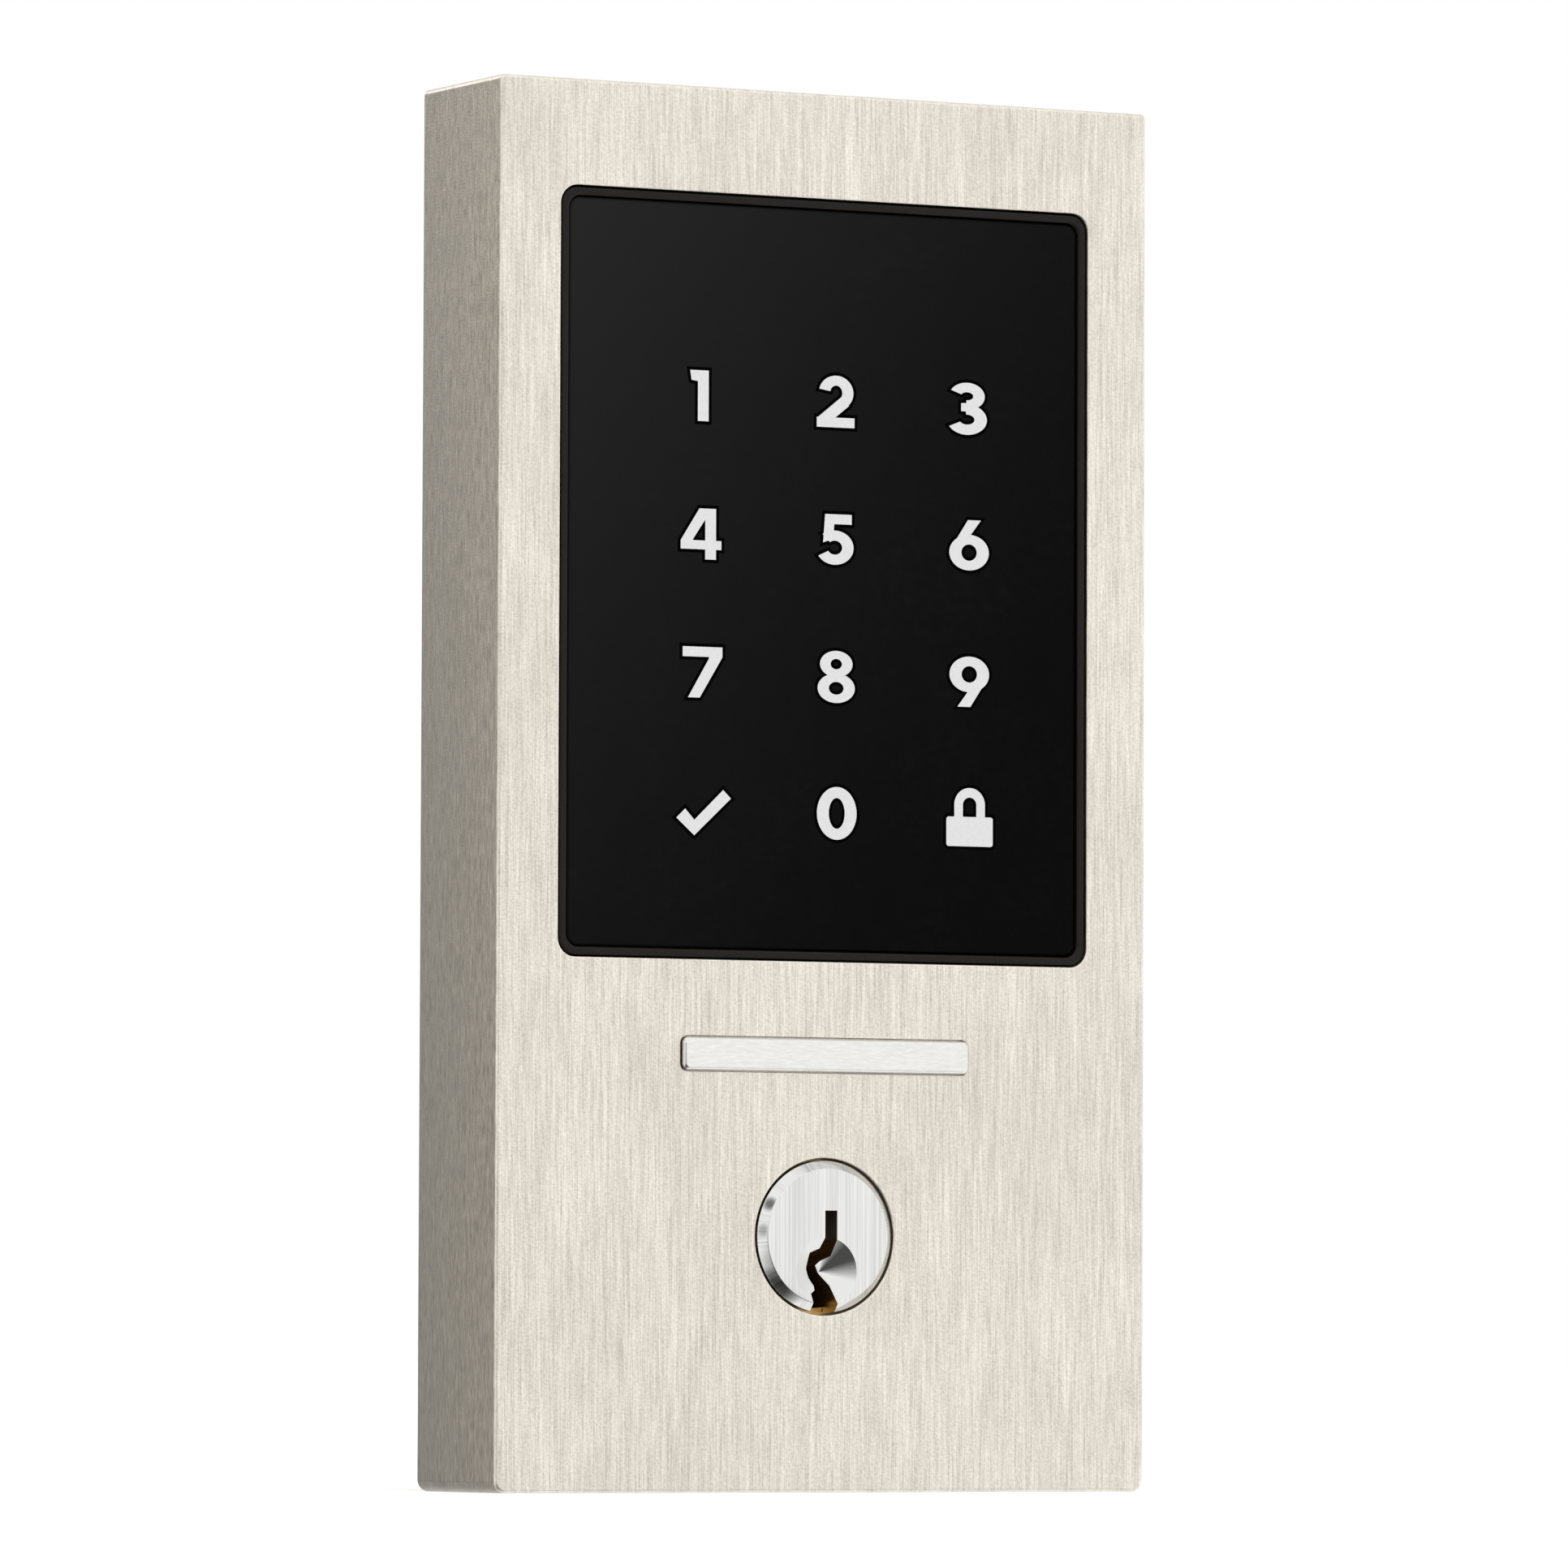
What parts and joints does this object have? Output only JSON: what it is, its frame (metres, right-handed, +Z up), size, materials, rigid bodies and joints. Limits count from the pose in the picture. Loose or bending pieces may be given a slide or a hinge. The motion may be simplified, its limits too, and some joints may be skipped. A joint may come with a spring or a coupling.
{
  "type": "keypad smart lock",
  "caption": "Outdoor half of a keypad deadbolt: satin metal case, black touch keypad, pin-tumbler key cylinder with tailpiece, posts and gasket behind.",
  "frame": {"origin": "where the key cylinder's axis crosses the face of the door, the centre of the door's cross bore", "axes": "+X to the right seen from outside, +Y into the door, +Z up; the case is in front of the door face at y < 0"},
  "size_m": [0.0666, 0.0686, 0.127],
  "materials": {
    "satin_nickel": "warm satin nickel plate on cast zinc, fine vertical brushing",
    "polished_nickel": "polished nickel",
    "bezel_black": "black moulded plastic, satin",
    "lens_glass": "near-black hard-coated lens, high gloss",
    "adhesive_black": "black double-sided foam tape",
    "sensor_film": "clear conductive film, faintly green",
    "white_plastic": "white moulded plastic",
    "led_white": "small white LED package with a yellow-white lens",
    "circuit_board": "green solder mask over copper tracks",
    "black_plastic": "black moulded plastic",
    "zinc_steel": "zinc-plated steel",
    "screw_steel": "bright zinc-plated steel",
    "black_rubber": "black closed-cell foam rubber",
    "brass": "machined brass",
    "plug_nickel": "bright nickel-plated brass, face brushed vertically, bevel polished",
    "hard_steel": "hardened steel",
    "spring_steel": "phosphor-bronze or steel spring wire",
    "blade_steel": "zinc-plated steel strip"
  },
  "bodies": {
    "case": {"housing": "satin_nickel", "badge_bar": "polished_nickel", "lens_bezel": "bezel_black", "touch_lens": "lens_glass", "lens_adhesive": "adhesive_black", "touch_sensor": "sensor_film", "light_mask": "white_plastic", "board_connector": "white_plastic", "key_light_1": "led_white", "key_light_2": "led_white", "key_light_3": "led_white", "key_light_4": "led_white", "key_light_5": "led_white", "key_light_6": "led_white", "key_light_7": "led_white", "key_light_8": "led_white", "key_light_9": "led_white", "key_light_10": "led_white", "key_light_11": "led_white", "key_light_12": "led_white", "keypad_board": "circuit_board", "controller_chip": "black_plastic", "buzzer": "black_plastic", "back_plate": "zinc_steel", "mounting_post_1": "zinc_steel", "mounting_post_2": "zinc_steel", "board_screw_1": "screw_steel", "board_screw_2": "screw_steel", "board_screw_3": "screw_steel", "board_screw_4": "screw_steel", "plate_screw_1": "screw_steel", "plate_screw_2": "screw_steel", "plate_screw_3": "screw_steel", "plate_screw_4": "screw_steel", "door_gasket": "black_rubber", "cable_grommet": "black_rubber", "cylinder_shell": "brass", "chamber_cover": "brass", "pin_spring_1": "spring_steel", "pin_spring_2": "spring_steel", "pin_spring_3": "spring_steel", "pin_spring_4": "spring_steel", "pin_spring_5": "spring_steel"},
    "plug": {"plug": "plug_nickel", "drill_guard_pin_1": "hard_steel", "drill_guard_pin_2": "hard_steel", "plug_cap": "brass"},
    "torque_blade": {"torque_blade": "blade_steel"},
    "key_pin_1": {"key_pin_1": "brass"},
    "driver_pin_1": {"driver_pin_1": "brass"},
    "key_pin_2": {"key_pin_2": "brass"},
    "driver_pin_2": {"driver_pin_2": "brass"},
    "key_pin_3": {"key_pin_3": "brass"},
    "driver_pin_3": {"driver_pin_3": "brass"},
    "key_pin_4": {"key_pin_4": "brass"},
    "driver_pin_4": {"driver_pin_4": "brass"},
    "key_pin_5": {"key_pin_5": "brass"},
    "driver_pin_5": {"driver_pin_5": "brass"}
  },
  "joints": [
    {"name": "plug_turn", "type": "hinge", "parent": "case", "child": "plug", "pos_m": [0, 0, 0], "axis": [0, 1, 0], "range_deg": [-90, 90]},
    {"name": "torque_blade_turn", "type": "hinge", "parent": "case", "child": "torque_blade", "pos_m": [0, 0.03, 0], "axis": [0, 1, 0], "range_deg": [-90, 90]},
    {"name": "key_pin_1_slide", "type": "slide", "parent": "plug", "child": "key_pin_1", "axis": [0, 0, 1], "range_m": [-0.0032, 0]},
    {"name": "driver_pin_1_slide", "type": "slide", "parent": "case", "child": "driver_pin_1", "axis": [0, 0, 1], "range_m": [0, 0.0015], "stiffness_N_per_m": 200, "springref_m": -0.002, "deforming": ["pin_spring_1"]},
    {"name": "key_pin_2_slide", "type": "slide", "parent": "plug", "child": "key_pin_2", "axis": [0, 0, 1], "range_m": [-0.0024, 0]},
    {"name": "driver_pin_2_slide", "type": "slide", "parent": "case", "child": "driver_pin_2", "axis": [0, 0, 1], "range_m": [0, 0.0015], "stiffness_N_per_m": 200, "springref_m": -0.002, "deforming": ["pin_spring_2"]},
    {"name": "key_pin_3_slide", "type": "slide", "parent": "plug", "child": "key_pin_3", "axis": [0, 0, 1], "range_m": [-0.0029, 0]},
    {"name": "driver_pin_3_slide", "type": "slide", "parent": "case", "child": "driver_pin_3", "axis": [0, 0, 1], "range_m": [0, 0.0015], "stiffness_N_per_m": 200, "springref_m": -0.002, "deforming": ["pin_spring_3"]},
    {"name": "key_pin_4_slide", "type": "slide", "parent": "plug", "child": "key_pin_4", "axis": [0, 0, 1], "range_m": [-0.0018, 0]},
    {"name": "driver_pin_4_slide", "type": "slide", "parent": "case", "child": "driver_pin_4", "axis": [0, 0, 1], "range_m": [0, 0.0015], "stiffness_N_per_m": 200, "springref_m": -0.002, "deforming": ["pin_spring_4"]},
    {"name": "key_pin_5_slide", "type": "slide", "parent": "plug", "child": "key_pin_5", "axis": [0, 0, 1], "range_m": [-0.003, 0]},
    {"name": "driver_pin_5_slide", "type": "slide", "parent": "case", "child": "driver_pin_5", "axis": [0, 0, 1], "range_m": [0, 0.0015], "stiffness_N_per_m": 200, "springref_m": -0.002, "deforming": ["pin_spring_5"]}
  ],
  "couplings": [
    {"joint": "torque_blade_turn", "follows": "plug_turn", "ratio": 1}
  ]
}
